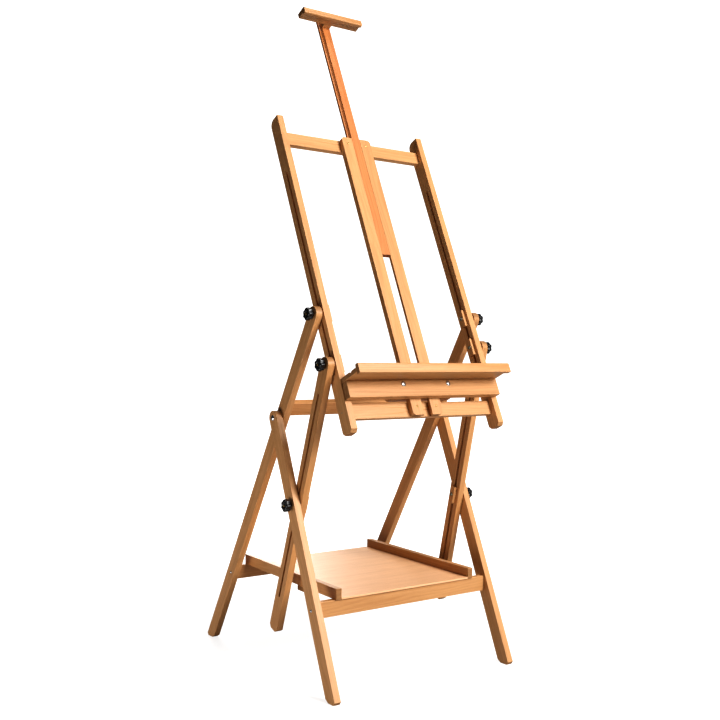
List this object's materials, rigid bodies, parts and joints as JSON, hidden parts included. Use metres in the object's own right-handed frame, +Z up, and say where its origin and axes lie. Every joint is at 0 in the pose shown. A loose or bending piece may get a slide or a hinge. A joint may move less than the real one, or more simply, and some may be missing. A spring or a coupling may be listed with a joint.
{
  "type": "wooden artist easel",
  "caption": "Folding wooden studio easel with a leaning H-shaped frame, sliding canvas mast and tray, crossed legs with slotted braces and a low shelf.",
  "frame": {"origin": "on the floor under the middle of the easel's bounding box", "axes": "+X to the viewer's right when facing the tray, +Y to the back, +Z up"},
  "size_m": [0.6706, 0.8432, 2.0347],
  "materials": {
    "beech": "satin oiled",
    "slider": "satin stained",
    "plywood": "satin",
    "knob": "gloss",
    "zinc": "bright zinc plate",
    "brass": "plain"
  },
  "bodies": {
    "rear_frame": {"rear_leg_left": "beech", "rear_leg_right": "beech", "rear_rail": "beech", "upper_crossbar": "beech", "rear_rail_screw_left": "zinc", "rear_rail_screw_right": "zinc", "upper_bolt_left": "zinc", "upper_bolt_right": "zinc"},
    "front_frame": {"front_leg_left": "beech", "front_leg_right": "beech", "front_rail": "beech", "front_rail_screw_left": "zinc", "front_rail_screw_right": "zinc", "hinge_bolt_left": "zinc", "hinge_bolt_right": "zinc"},
    "slot_blocks": {"upper_block_left": "beech", "upper_block_right": "beech", "lower_block_left": "beech", "lower_block_right": "beech"},
    "upper_frame": {"post_left": "beech", "post_right": "beech", "top_rail": "beech", "bottom_rail": "beech", "mast_rail_left": "beech", "mast_rail_right": "beech", "mast_screw_high_left": "brass", "mast_screw_high_right": "brass", "mast_screw_low_left": "brass", "mast_screw_low_right": "brass"},
    "mast": {"mast_slider": "slider", "top_holder": "beech", "holder_spacer": "beech"},
    "mast_clamp": {"mast_knob": "knob", "mast_clamp_screw": "zinc"},
    "tray": {"tray_ledge": "beech", "tray_lip": "beech", "tray_apron": "beech", "tray_back_plate": "beech", "tray_bolt_left": "zinc", "tray_bolt_right": "zinc"},
    "shelf": {"shelf_board": "plywood", "shelf_lip_left": "beech", "shelf_lip_right": "beech", "shelf_batten": "beech"},
    "brace_pin_left": {"lower_bolt_left": "zinc"},
    "brace_arm_left": {"brace_left": "beech"},
    "brace_guide_left": {"brace_block_left": "beech", "brace_bolt_left": "zinc"},
    "upper_clamp_left": {"upper_knob_left": "knob"},
    "lower_clamp_left": {"lower_knob_left": "knob"},
    "brace_clamp_left": {"brace_knob_left": "knob"},
    "tray_clamp_left": {"tray_knob_left": "knob"},
    "brace_pin_right": {"lower_bolt_right": "zinc"},
    "brace_arm_right": {"brace_right": "beech"},
    "brace_guide_right": {"brace_block_right": "beech", "brace_bolt_right": "zinc"},
    "upper_clamp_right": {"upper_knob_right": "knob"},
    "lower_clamp_right": {"lower_knob_right": "knob"},
    "brace_clamp_right": {"brace_knob_right": "knob"},
    "tray_clamp_right": {"tray_knob_right": "knob"}
  },
  "joints": [
    {"name": "leg_fold", "type": "hinge", "parent": "rear_frame", "child": "front_frame", "pos_m": [0, -0.05256, 0.73185], "axis": [1, 0, 0], "range_deg": [0, 22]},
    {"name": "frame_tilt", "type": "hinge", "parent": "rear_frame", "child": "slot_blocks", "pos_m": [0, -0.233, 1.023], "axis": [-1, 0, 0], "range_deg": [-15, 20]},
    {"name": "frame_height", "type": "slide", "parent": "slot_blocks", "child": "upper_frame", "axis": [0, 0.3978, 0.9175], "range_m": [-0.25, 0.004]},
    {"name": "mast_slide", "type": "slide", "parent": "upper_frame", "child": "mast", "axis": [0, 0.3978, 0.9175], "range_m": [-0.37, 0.25]},
    {"name": "tray_slide", "type": "slide", "parent": "upper_frame", "child": "tray", "axis": [0, 0.3978, 0.9175], "range_m": [-0.008, 0.45]},
    {"name": "shelf_lift", "type": "hinge", "parent": "rear_frame", "child": "shelf", "pos_m": [0, 0.25, 0.25546], "axis": [-1, 0, 0], "range_deg": [0, 35]},
    {"name": "brace_swing_left", "type": "hinge", "parent": "slot_blocks", "child": "brace_pin_left", "pos_m": [0, -0.29307, 0.88446], "axis": [1, 0, 0], "range_deg": [-18.59, 24.72]},
    {"name": "brace_fold_left", "type": "hinge", "parent": "brace_pin_left", "child": "brace_arm_left", "pos_m": [0, -0.29307, 0.88446], "axis": [1, 0, 0], "range_deg": [-0.2, 9.4]},
    {"name": "brace_guide_left", "type": "hinge", "parent": "front_frame", "child": "brace_guide_left", "pos_m": [0, -0.15185, 0.49434], "axis": [1, 0, 0], "range_deg": [-13, 0.2]},
    {"name": "upper_knob_turn_left", "type": "hinge", "parent": "rear_frame", "child": "upper_clamp_left", "pos_m": [0, -0.233, 1.023], "axis": [-1, 0, 0], "continuous": true},
    {"name": "lower_knob_turn_left", "type": "hinge", "parent": "brace_pin_left", "child": "lower_clamp_left", "pos_m": [0, -0.29307, 0.88446], "axis": [-1, 0, 0], "continuous": true},
    {"name": "brace_knob_turn_left", "type": "hinge", "parent": "front_frame", "child": "brace_clamp_left", "pos_m": [0, -0.15185, 0.49434], "axis": [-1, 0, 0], "continuous": true},
    {"name": "tray_knob_turn_left", "type": "hinge", "parent": "tray", "child": "tray_clamp_left", "pos_m": [-0.0792, -0.3235, 0.81427], "axis": [0, 0.9175, -0.3978], "continuous": true},
    {"name": "brace_swing_right", "type": "hinge", "parent": "slot_blocks", "child": "brace_pin_right", "pos_m": [0, -0.27079, 0.93584], "axis": [1, 0, 0], "range_deg": [-17.3, 23]},
    {"name": "brace_fold_right", "type": "hinge", "parent": "brace_pin_right", "child": "brace_arm_right", "pos_m": [0, -0.27079, 0.93584], "axis": [1, 0, 0], "range_deg": [-0.2, 10.03]},
    {"name": "brace_guide_right", "type": "hinge", "parent": "front_frame", "child": "brace_guide_right", "pos_m": [0, -0.1574, 0.48106], "axis": [1, 0, 0], "range_deg": [-12.37, 0.2]},
    {"name": "upper_knob_turn_right", "type": "hinge", "parent": "rear_frame", "child": "upper_clamp_right", "pos_m": [0, -0.233, 1.023], "axis": [1, 0, 0], "continuous": true},
    {"name": "lower_knob_turn_right", "type": "hinge", "parent": "brace_pin_right", "child": "lower_clamp_right", "pos_m": [0, -0.27079, 0.93584], "axis": [1, 0, 0], "continuous": true},
    {"name": "brace_knob_turn_right", "type": "hinge", "parent": "front_frame", "child": "brace_clamp_right", "pos_m": [0, -0.1574, 0.48106], "axis": [1, 0, 0], "continuous": true},
    {"name": "tray_knob_turn_right", "type": "hinge", "parent": "tray", "child": "tray_clamp_right", "pos_m": [0.0792, -0.3235, 0.81427], "axis": [0, 0.9175, -0.3978], "continuous": true},
    {"name": "mast_knob_turn", "type": "hinge", "parent": "upper_frame", "child": "mast_clamp", "pos_m": [0, -0.00348, 1.55238], "axis": [0, 0.9175, -0.3978], "continuous": true}
  ],
  "couplings": [
    {"joint": "brace_swing_left", "follows": "frame_tilt", "ratio": 1.226},
    {"joint": "brace_fold_left", "follows": "leg_fold", "ratio": 0.418},
    {"joint": "brace_guide_left", "follows": "leg_fold", "ratio": -0.582},
    {"joint": "brace_swing_right", "follows": "frame_tilt", "ratio": 1.14},
    {"joint": "brace_fold_right", "follows": "leg_fold", "ratio": 0.447},
    {"joint": "brace_guide_right", "follows": "leg_fold", "ratio": -0.553}
  ]
}
